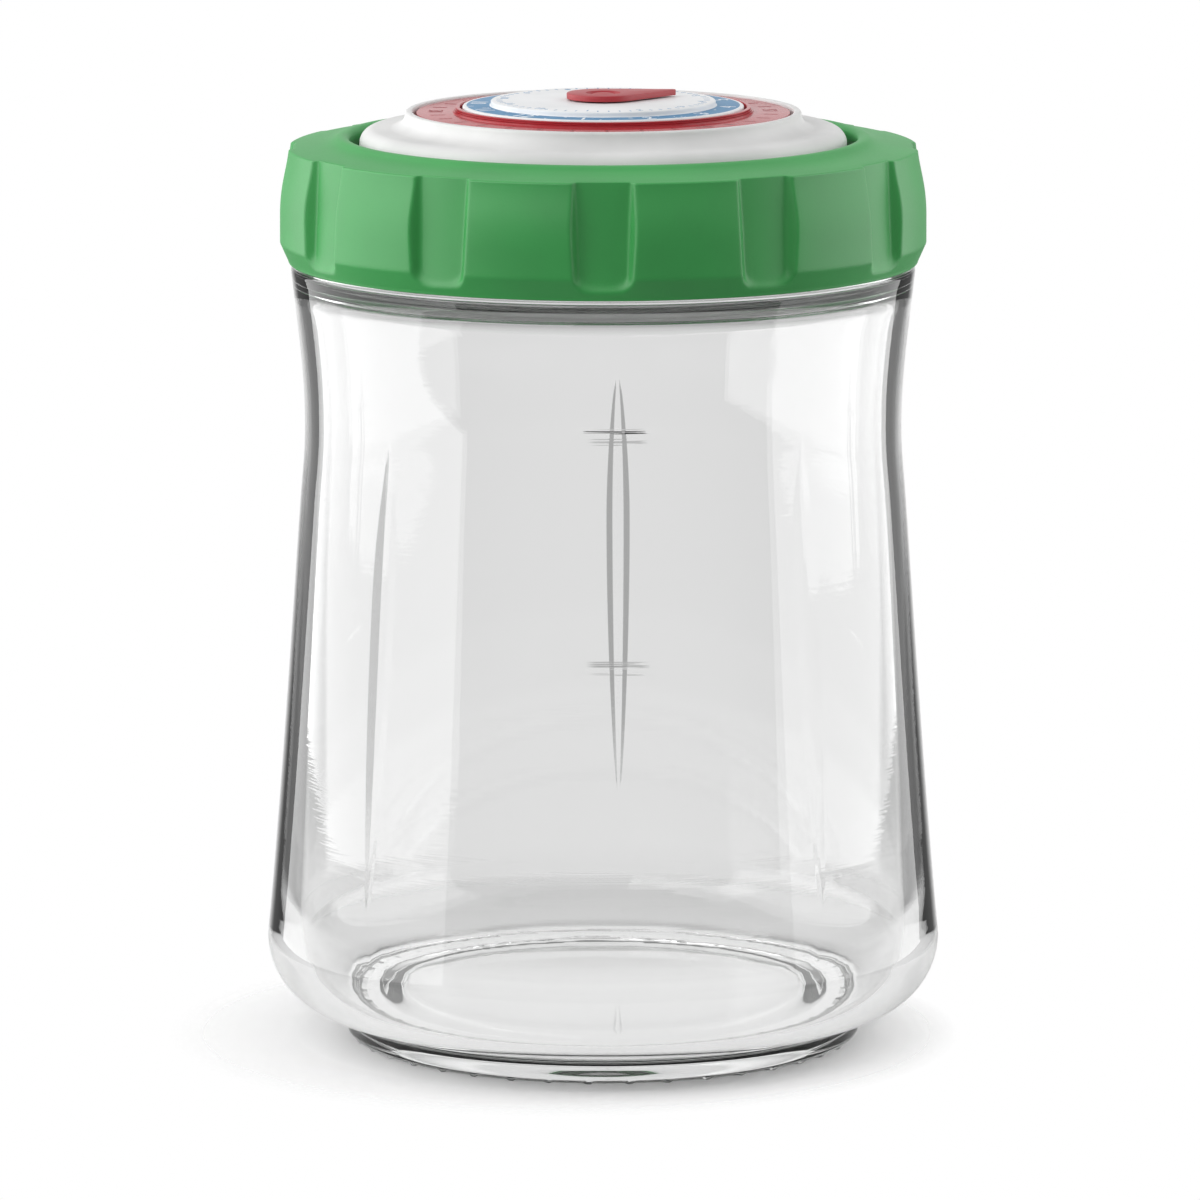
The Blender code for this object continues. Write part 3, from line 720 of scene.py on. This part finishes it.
def flute_columns(share):
    """Angle of a column within its flute's sector, closer together where the flute's sides stand."""
    for (low, low_angle), (high, high_angle) in zip(FLUTE_SPREAD, FLUTE_SPREAD[1:]):
        if share <= high:
            return low_angle + (high_angle - low_angle) * (share - low) / (high - low)
    return 180.0 / FLUTE_COUNT


def flute_radius(across, up):
    """Radius of a flute's floor and sides at a place across and up the ring."""
    low_share = (RING_TOP_Z - up) / (RING_TOP_Z - FLUTE_LOW_Z)
    floor_r = FLUTE_TOP_R + FLUTE_LEAN * min(low_share, 1.0)
    half = (FLUTE_TOP_W + (FLUTE_BOTTOM_W - FLUTE_TOP_W) * low_share) / 2
    out = max(across - (half - FLUTE_CORNER), 0.0)
    down = max(FLUTE_LOW_Z + FLUTE_CORNER - up, 0.0)
    reach = math.hypot(out, down)
    draft = FLUTE_SIDE_DRAFT
    if reach > 0.0:
        draft += (FLUTE_END_DRAFT - FLUTE_SIDE_DRAFT) * (down / reach) ** 2
    steep = (reach - FLUTE_CORNER) / draft
    return floor_r + (steep + math.sqrt(steep ** 2 + FLUTE_SOFT ** 2)) / 2


def shape_ring_point(point):
    """Press a grip flute or raise the inner thread at one point of the ring."""
    r = math.hypot(point.x, point.y)
    sector = 360.0 / FLUTE_COUNT
    angle = angle_of(point)
    middle = round(angle / sector) * sector
    share = (angle - middle) / (sector / 2)
    angle = middle + math.copysign(flute_columns(abs(share)), share)
    point.x = r * math.sin(math.radians(angle))
    point.y = -r * math.cos(math.radians(angle))
    if r > FLUTE_TOP_R - 0.7 and point.z > RING_LOW_Z + 0.1:
        across = abs(math.radians(angle - middle)) * r
        set_radius(point, soft_min(r, flute_radius(across, point.z), FLUTE_SOFT))
    if abs(r - BORE_R) < ON_OUTLINE:
        share = thread_share(point, RING_THREAD_LOW_Z, RING_THREAD_HIGH_Z)
        set_radius(point, BORE_R - RING_THREAD_H * share)


def make_ring():
    """Green screw ring with soft-edged grip flutes and an inner thread."""
    bm = turned(ring_outline(), RING_COLUMNS, True)
    for vert in bm.verts:
        shape_ring_point(vert.co)
    return finished("grip_ring", bm, green_finish(), "ring", ["screw_ring"], 50.0)


def make_seal():
    """Soft flat seal between the glass rim and the cover's flange."""
    inner = PLUG_R + 0.3
    middle = (inner + SEAL_R) / 2
    bead = curve((SEAL_R - 0.2, SEAL_LOW_Z + 0.3), (middle + 0.8, SEAL_LOW_Z), (middle - 0.8, SEAL_LOW_Z),
                 (inner + 0.2, SEAL_LOW_Z + 0.3), 8)
    outline = joined([(inner, SEAL_LOW_Z + 0.5), (inner, SEAL_HIGH_Z - 0.2), (inner + 0.2, SEAL_HIGH_Z),
                      (SEAL_R - 0.2, SEAL_HIGH_Z), (SEAL_R, SEAL_HIGH_Z - 0.2), (SEAL_R, SEAL_LOW_Z + 0.5)],
                     bead)
    bm = turned(outline, COVER_COLUMNS, True)
    return finished("seal_washer", bm, silicone_finish(), "lid", ["cover_seal"])


def cover_outline():
    """Half section of the inner cover, from the pin hole out over the top and back underneath."""
    shell_under = WELL_FLOOR_Z - 2.0
    side_in = COVER_SIDE_R - 2.0
    post = joined([(0.0, PIN_LOW_Z - 0.3), (PIN_HOLE_R, PIN_LOW_Z - 0.3), (PIN_HOLE_R, POST_TOP_Z - 0.15),
                   (PIN_HOLE_R + 0.15, POST_TOP_Z)],
                  arc(POST_R - 0.3, POST_TOP_Z - 0.3, 0.3, 90, 0, 3),
                  arc(POST_R + 0.4, WELL_FLOOR_Z + 0.4, 0.4, 180, 270, 3))
    well = joined(arc(WELL_R - 0.4, WELL_FLOOR_Z + 0.4, 0.4, 270, 360, 3),
                  [(WELL_R, BOSS_TOP_Z - 0.3)], arc(WELL_R + 0.3, BOSS_TOP_Z - 0.3, 0.3, 180, 90, 3),
                  arc(BOSS_TOP_R - 0.5, BOSS_TOP_Z - 0.5, 0.5, 90, 5, 4))
    flare = curve((BOSS_TOP_R, BOSS_TOP_Z - 0.8), (BOSS_TOP_R + 0.15, COVER_TOP_Z + 1.5),
                  (BOSS_BASE_R - 0.7, COVER_TOP_Z + 0.35), (BOSS_BASE_R + 1.4, COVER_TOP_Z), 12)
    side = joined(arc(COVER_SIDE_R - COVER_ROUND, COVER_TOP_Z - COVER_ROUND, COVER_ROUND, 90, 0, 10),
                  arc(COVER_SIDE_R + 0.5, FLANGE_HIGH_Z + 0.5, 0.5, 180, 270, 3))
    flange = joined(arc(FLANGE_R - 0.4, FLANGE_HIGH_Z - 0.4, 0.4, 90, 0, 3),
                    [(FLANGE_R, FLANGE_LOW_Z + 0.2), (FLANGE_R - 0.2, FLANGE_LOW_Z), (PLUG_R, FLANGE_LOW_Z),
                     (PLUG_R, PLUG_LOW_Z + 0.9)],
                    arc(PLUG_R - PLUG_WALL / 2, PLUG_LOW_Z + PLUG_WALL / 2, PLUG_WALL / 2, 0, -180, 8),
                    [(PLUG_R - PLUG_WALL, FLANGE_LOW_Z - 0.5)],
                    [(PLUG_R - PLUG_WALL - 0.5, FLANGE_LOW_Z)])
    under = [(side_in, FLANGE_LOW_Z), (side_in, shell_under - 1.2), (side_in - 1.2, shell_under),
             (POST_R, shell_under), (POST_R, shell_under - 2.2), (0.0, shell_under - 2.2)]
    return joined(post, well, flare, side, flange, under)


def make_cover():
    """White inner cover with its raised well for the dial."""
    bm = turned(cover_outline(), COVER_COLUMNS, False)
    return finished("inner_cover", bm, white_finish(), "lid", ["cover"])


def make_day_ring():
    """Red numbered ring with a stepped finger lip."""
    foot_top = DAY_LOW_Z + 1.1
    flat = joined([(DAY_FOOT_R, DAY_LOW_Z + 0.2), (DAY_FOOT_R + 0.2, DAY_LOW_Z), (DAY_R - 0.15, DAY_LOW_Z)],
                  arc(DAY_R - 0.15, DAY_TOP_Z - 0.15, 0.15, 0, 90, 3),
                  arc(LIP_R + 0.25, DAY_TOP_Z + 0.25, 0.25, -90, -180, 3))
    lip = [(LIP_R, DAY_TOP_Z + 0.25)]
    step_h = (LIP_HIGH_Z - DAY_TOP_Z - 0.25) / 3
    for step in range(3):
        base_z = DAY_TOP_Z + 0.25 + step * step_h
        base_r = LIP_R - 0.22 * step
        lip += [(base_r, base_z + step_h * 0.72), (base_r - 0.3, base_z + step_h * 0.82),
                (base_r - 0.22, base_z + step_h)]
    rim = joined(arc(LIP_INNER_R + 0.22, LIP_HIGH_Z - 0.2, 0.2, 90, 180, 3),
                 [(LIP_INNER_R, foot_top + 0.15), (LIP_INNER_R - 0.15, foot_top),
                  (DAY_FOOT_R + 0.2, foot_top), (DAY_FOOT_R, foot_top - 0.2)])
    lip[-2:] = [(LIP_R - 0.75, LIP_HIGH_Z)]      # the last step ends on top of the rim
    bm = turned(joined(flat, lip, rim), DIAL_COLUMNS, True)
    finish = red_finish("satin_red_plastic", (0.42, 0.02, 0.03), 0.22)
    return finished("day_dial_ring", bm, finish, "day_dial", ["day_ring"], 25.0)


def make_month_disc():
    """White inner disc with a blue band and a raised centre."""
    hub_in = POST_R + 0.4
    band_under = BAND_Z - 1.5
    centre_under = DISC_HIGH_Z - 1.5
    edge_z = DAY_LOW_Z + 1.4
    outline = joined([(hub_in, DISC_LOW_Z), (hub_in, DISC_HIGH_Z - 0.15), (hub_in + 0.15, DISC_HIGH_Z)],
                     arc(BAND_INNER_R - 0.35, DISC_HIGH_Z - 0.35, 0.35, 90, 0, 4),
                     arc(BAND_INNER_R + 0.2, BAND_Z + 0.2, 0.2, 180, 270, 2),
                     arc(DISC_R - 0.35, BAND_Z - 0.35, 0.35, 90, 0, 4),
                     [(DISC_R, edge_z), (DISC_R - 1.5, edge_z), (DISC_R - 1.5, band_under),
                      (BAND_INNER_R - 1.5, band_under), (BAND_INNER_R - 1.5, centre_under),
                      (hub_in + 3.4, centre_under), (hub_in + 3.4, DISC_LOW_Z)])
    bm = turned(outline, DIAL_COLUMNS, True)
    return finished("month_dial_disc", bm, disc_finish(), "month_dial", ["month_disc"])


def spread(count, first):
    """Angles of marks spread evenly round the dial."""
    return [first + 360.0 * index / count for index in range(count)]


def add_print(bm, mesh, angle, radius, top_z):
    """Add a copy of a flat print to a mesh, at an angle and radius on the dial."""
    turn = Matrix.Rotation(math.radians(angle), 4, "Z")
    copy = mesh.copy()
    copy.transform(turn @ Matrix.Translation((0.0, -radius, top_z)))
    bm.from_mesh(copy)
    bpy.data.meshes.remove(copy)


def number_mesh(number, size):
    """A printed number of a plain typeface, read from the dial's rim."""
    text = bpy.data.curves.new("number", "FONT")
    text.body = str(number)
    text.size = size
    text.extrude = PRINT_T / 2
    text.align_x = "CENTER"
    text.align_y = "CENTER"
    text.resolution_u = 3
    holder = bpy.data.objects.new("number", text)
    bpy.context.scene.collection.objects.link(holder)
    shown = holder.evaluated_get(bpy.context.evaluated_depsgraph_get())
    mesh = bpy.data.meshes.new_from_object(shown)
    bpy.data.objects.remove(holder, do_unlink=True)
    bpy.data.curves.remove(text)
    return mesh


def dash_mesh(width, length):
    """A printed dash that points at the dial's centre."""
    bm = bmesh.new()
    bmesh.ops.create_cube(bm, size=1.0)
    bmesh.ops.scale(bm, vec=(width, length, PRINT_T), verts=bm.verts)
    mesh = bpy.data.meshes.new("dash")
    bm.to_mesh(mesh)
    bm.free()
    return mesh


def print_piece(name, bm, ink, body):
    """Finish the prints on one dial piece as one object."""
    bmesh.ops.remove_doubles(bm, verts=bm.verts, dist=0.0001)
    bmesh.ops.recalc_face_normals(bm, faces=bm.faces)
    return finished(name, bm, ink, body, [], 20.0)


def make_day_print():
    """Dark dashes for the days on the red ring, with a number at every fifth."""
    bm = bmesh.new()
    middle = (DAY_R + LIP_R) / 2
    dash = dash_mesh(*DAY_DASH)
    for index, angle in enumerate(spread(DAY_COUNT, DAY_START)):
        if index % 5:
            add_print(bm, dash, angle, middle, DAY_TOP_Z)
        else:
            number = number_mesh(max(index, 1), DAY_NUMBER_H)
            add_print(bm, number, angle, middle, DAY_TOP_Z)
            bpy.data.meshes.remove(number)
    bpy.data.meshes.remove(dash)
    ink = ink_finish("dark_red_ink", (0.20, 0.008, 0.014))
    return print_piece("day_marks", bm, ink, "day_dial")


def make_month_print():
    """White month numbers on the blue band."""
    bm = bmesh.new()
    middle = (DISC_R + BAND_INNER_R) / 2
    for index, angle in enumerate(spread(MONTH_COUNT, MONTH_START)):
        number = number_mesh(index + 1, MONTH_NUMBER_H)
        add_print(bm, number, angle, middle, BAND_Z)
        bpy.data.meshes.remove(number)
    ink = ink_finish("white_ink", (0.80, 0.82, 0.84))
    return print_piece("month_numbers", bm, ink, "month_dial")


def make_centre_print():
    """Small blue ticks and numbers round the raised centre's edge."""
    bm = bmesh.new()
    dash = dash_mesh(*CENTRE_DASH)
    for index, angle in enumerate(spread(CENTRE_COUNT, MONTH_START)):
        if index % 5:
            add_print(bm, dash, angle, BAND_INNER_R - 1.6, DISC_HIGH_Z)
        else:
            number = number_mesh(index // 5 + 1, CENTRE_NUMBER_H)
            add_print(bm, number, angle, BAND_INNER_R - 2.3, DISC_HIGH_Z)
            bpy.data.meshes.remove(number)
    bpy.data.meshes.remove(dash)
    ink = ink_finish("blue_ink", (0.10, 0.24, 0.42))
    return print_piece("centre_marks", bm, ink, "month_dial")


def pointer_outline(shrink, count):
    """Points round the pointer seen from above, drawn in by shrink, starting at its tip."""
    hub_r = POINTER_HUB_R - shrink
    tip_r = max(POINTER_TIP_R - shrink, 0.1)
    tip_x = POINTER_REACH - POINTER_TIP_R
    lean = math.acos((hub_r - tip_r) / tip_x)
    side = math.sqrt(tip_x ** 2 - (hub_r - tip_r) ** 2)
    stretches = (tip_r * lean, side, hub_r * (math.tau - 2 * lean), side, tip_r * lean)
    points = []
    for index in range(count):
        run = sum(stretches) * index / count
        for number, length in enumerate(stretches):
            if run <= length:
                break
            run -= length
        if number in (0, 4):
            turn = run / tip_r if number == 0 else run / tip_r - lean
            points.append((tip_x + tip_r * math.cos(turn), tip_r * math.sin(turn)))
        elif number == 2:
            points.append((hub_r * math.cos(lean + run / hub_r), hub_r * math.sin(lean + run / hub_r)))
        else:
            sign = 1 if number == 1 else -1
            along = run / side if number == 1 else 1.0 - run / side
            tip = (tip_x + tip_r * math.cos(lean), sign * tip_r * math.sin(lean))
            hub = (hub_r * math.cos(lean), sign * hub_r * math.sin(lean))
            points.append((tip[0] + (hub[0] - tip[0]) * along, tip[1] + (hub[1] - tip[1]) * along))
    return points


def circle_points(radius, count):
    """Points round a circle, starting on +X."""
    return [(radius * math.cos(math.tau * index / count), radius * math.sin(math.tau * index / count))
            for index in range(count)]


def make_pointer():
    """Red teardrop pointer with rounded edges and a countersunk hub."""
    bm = bmesh.new()
    count = 120
    sink_z = POINTER_LOW_Z + POINTER_SINK_T
    loops = ((circle_points(PIN_HOLE_R, count), POINTER_LOW_Z), (circle_points(PIN_HOLE_R, count), sink_z),
             (circle_points(SINK_FLOOR_R, count), sink_z), (circle_points(SINK_RIM_R, count), POINTER_HIGH_Z),
             (pointer_outline(POINTER_EDGE, count), POINTER_HIGH_Z),
             (pointer_outline(POINTER_EDGE * 0.3, count), POINTER_HIGH_Z - POINTER_EDGE * 0.3),
             (pointer_outline(0.0, count), POINTER_HIGH_Z - POINTER_EDGE),
             (pointer_outline(0.0, count), POINTER_LOW_Z))
    rings = []
    for points, z in loops:
        verts = [bm.verts.new((x, y, z)) for x, y in points]
        rings.append([bm.edges.new((verts[index - 1], verts[index])) for index in range(count)])
    for index, ring in enumerate(rings):
        bmesh.ops.bridge_loops(bm, edges=rings[index - 1] + ring)
    bmesh.ops.recalc_face_normals(bm, faces=bm.faces)
    bmesh.ops.rotate(bm, cent=(0, 0, 0), matrix=Matrix.Rotation(math.radians(POINTER_ANGLE), 3, "Z"),
                     verts=bm.verts)
    finish = red_finish("smooth_red_plastic", (0.38, 0.025, 0.035), 0.4)
    return finished("dial_pointer", bm, finish, "pointer_arm", ["pointer"], 30.0)


def make_pin():
    """Domed pin through the pointer's hub."""
    head_z = POINTER_LOW_Z + 0.6
    outline = joined([(0.0, PIN_LOW_Z), (PIN_SHANK_R - 0.2, PIN_LOW_Z), (PIN_SHANK_R, PIN_LOW_Z + 0.2),
                      (PIN_SHANK_R, head_z), (PIN_HEAD_R - 0.05, head_z)],
                     curve((PIN_HEAD_R, head_z + 0.08), (PIN_HEAD_R - 0.05, head_z + 0.3),
                           (PIN_HEAD_R - 0.9, PIN_HIGH_Z), (0.0, PIN_HIGH_Z), 8))
    bm = turned(outline, 64, False)
    finish = red_finish("pin_red_plastic", (0.38, 0.014, 0.02), 0.4)
    return finished("hub_pin", bm, finish, "lid", ["pointer_pin"], 40.0)


def make_camera():
    """Camera at the photograph's angle."""
    data = bpy.data.cameras.new("camera")
    data.lens = CAMERA_LENS
    data.sensor_width = CAMERA_SENSOR
    camera = bpy.data.objects.new("camera", data)
    camera.location = CAMERA_PLACE
    camera.rotation_euler = (CAMERA_AIM - CAMERA_PLACE).to_track_quat("-Z", "Y").to_euler()
    bpy.context.scene.collection.objects.link(camera)
    bpy.context.scene.camera = camera


def soft_light(name, angle, place, size, radiance):
    """A large soft lamp that stands across the direction at an angle from the front.

    Its place is its distance from the axis, how far it is shifted sideways and its middle's height.
    What is seen straight through the glass is the backdrop and not the lamp, and a lamp is a
    little dimmer in a reflection than on what it lights.
    """
    distance, shift, height = place
    data = bpy.data.lights.new(name, "AREA")
    data.shape = "RECTANGLE"
    data.size, data.size_y = size
    data.energy = math.pi * size[0] * size[1]      # at which the emission's strength is the radiance
    finish = Finish(data)
    path = finish.tree.nodes.new("ShaderNodeLightPath")
    mirrored = Wire(finish, path.outputs["Glossy Depth"]) > 0.5
    in_glass = Wire(finish, path.outputs["Transmission Depth"]) > 0.5
    scattered = Wire(finish, path.outputs["Diffuse Depth"]) > 0.5
    straight = in_glass * (1.0 - mirrored) * (1.0 - scattered)
    strength = (1.0 - straight) * (1.0 - mirrored * LAMP_MIRROR_LOSS) * radiance
    finish.feed(finish.tree.nodes["Emission"].inputs["Strength"], strength)
    lamp = bpy.data.objects.new(name, data)
    turn = math.radians(angle)
    out = Vector((math.sin(turn), -math.cos(turn), 0.0))
    along = Vector((-out.y, out.x, 0.0))
    lamp.location = out * distance + along * shift + Vector((0.0, 0.0, height))
    lamp.rotation_euler = (-out).to_track_quat("-Z", "Y").to_euler()
    lamp.visible_camera = False
    bpy.context.scene.collection.objects.link(lamp)


def straight_view(finish, path):
    """1 for a ray that has passed through glass and met no reflection on its way, else 0."""
    through = Wire(finish, path.outputs["Is Transmission Ray"])
    return through * (Wire(finish, path.outputs["Glossy Depth"]) < 0.5)


def make_world():
    """White backdrop for the camera and through the glass, and a dim room for reflections.

    The backdrop seen through the glass has dark upright flags to the sides and ends above and
    below, which draw the edges of the glass, its grooves and its level marks.
    """
    world = bpy.data.worlds.new("studio")
    bpy.context.scene.world = world
    finish = Finish(world)
    path = finish.tree.nodes.new("ShaderNodeLightPath")
    to_camera = Wire(finish, path.outputs["Is Camera Ray"])
    mirrored = Wire(finish, path.outputs["Is Glossy Ray"])
    straight = straight_view(finish, path)
    way = finish.node("ShaderNodeTexCoord", output="Generated")
    parts = finish.tree.nodes.new("ShaderNodeSeparateXYZ")
    finish.feed(parts.inputs[0], way)
    x, y, z = (Wire(finish, parts.outputs[axis]) for axis in "XYZ")

    # What lights the pieces, a little more from above and from the left
    soft = 0.25 + z * 0.24 - x * 0.1

    # What the pieces mirror: a dim room with a bright backdrop, a ceiling and a floor
    in_glass = Wire(finish, path.outputs["Transmission Depth"]) > 0.5
    overhead = ((z - 0.2) * 2.5).clamped() * ROOM_OVERHEAD
    behind = ((y - 0.92) * 20.0).clamped() * ROOM_BEHIND
    before = (y * -0.22).clamped()
    below = ((z + 0.3) * -5.0).clamped() * (ROOM_BELOW + in_glass * (ROOM_BELOW_IN_GLASS - ROOM_BELOW))
    room = ROOM_DIM + behind + before + overhead + below
    light = soft + mirrored * (room - soft)

    # What shows straight through the glass, and the white that the camera sees
    turn = x.math("ARCTAN2", y)
    flags = ((turn * 10.0).math("COSINE") * -5.0 - 2.7).clamped() * ((z + 0.27) * 25.0).clamped()
    off_level = (((z + 0.165).math("ABSOLUTE") - 0.09) * 12.0).clamped()
    light = light + straight * (BACKDROP - flags.math("MAXIMUM", off_level) * FLAG_LOSS - light)
    light = light + to_camera * (1.0 - light)
    background = finish.tree.nodes["Background"]
    background.inputs["Color"].default_value = (1.0, 1.0, 1.0, 1.0)
    finish.feed(background.inputs["Strength"], light)


def make_floor():
    """Pale floor that keeps the jar's shadow and fades out to the white backdrop.

    Through the glass it glows with painted light, which stands in for the light that passes through the glass
    onto the board that the jar stands on, and for a view straight through the glass the glow darkens with
    painted shade beyond 5 cm from the axis.
    """
    bm = bmesh.new()
    bmesh.ops.create_circle(bm, cap_ends=True, segments=96, radius=FLOOR_R)
    mesh = bpy.data.meshes.new("floor")
    bm.to_mesh(mesh)
    bm.free()
    finish = Finish(bpy.data.materials.new("pale_floor"))
    shader = finish.tree.nodes["Principled BSDF"]
    shader.inputs["Roughness"].default_value = 0.9
    shader.inputs["Specular IOR Level"].default_value = 0.0
    shader.inputs["Base Color"].default_value = FLOOR_COLOUR
    path = finish.tree.nodes.new("ShaderNodeLightPath")
    through = Wire(finish, path.outputs["Is Transmission Ray"])
    out = finish.from_axis()
    # Painted light and shade: rays through the glass see the floor glow as if lit through the glass, and
    # straight views see that glow darkened with painted shade beyond 5 cm from the axis.
    tone = 0.9 - straight_view(finish, path) * ((out - 0.05) * 60.0).clamped() * 0.24
    colour = finish.node("ShaderNodeCombineColor", {}, {0: tone, 1: tone, 2: tone})
    painted_through_light = finish.node("ShaderNodeEmission", {}, {"Color": colour, "Strength": 1.0})
    seen = finish.node("ShaderNodeMixShader", {},
                       {0: through * 0.85, 1: Wire(finish, shader.outputs[0]), 2: painted_through_light})
    clear = finish.node("ShaderNodeBsdfTransparent")
    across = finish.node("ShaderNodeVectorMath", {"operation": "DOT_PRODUCT"},
                         {0: finish.place(), 1: (0.1, 0.0, 0.0)}, output="Value")
    shadow_end = ((out - SHADOW_R + across) / SHADOW_FADE).clamped()
    board_end = ((out - BOARD_R) / BOARD_FADE).clamped()
    fade = board_end + (shadow_end - board_end) * Wire(finish, path.outputs["Is Camera Ray"])
    mixed = finish.node("ShaderNodeMixShader", {}, {0: fade, 1: seen, 2: clear})
    finish.feed(finish.tree.nodes["Material Output"].inputs["Surface"], mixed)
    mesh.materials.append(finish.owner)
    floor = bpy.data.objects.new("floor", mesh)
    bpy.context.scene.collection.objects.link(floor)


def main():
    """Make the pieces and the studio."""
    make_camera()
    make_jar()
    make_ring()
    make_seal()
    make_cover()
    make_day_ring()
    make_month_disc()
    make_day_print()
    make_month_print()
    make_centre_print()
    make_pointer()
    make_pin()
    make_world()
    make_floor()
    for lamp in LAMPS:
        soft_light(*lamp)
    bpy.context.scene.view_settings.view_transform = "Standard"


main()
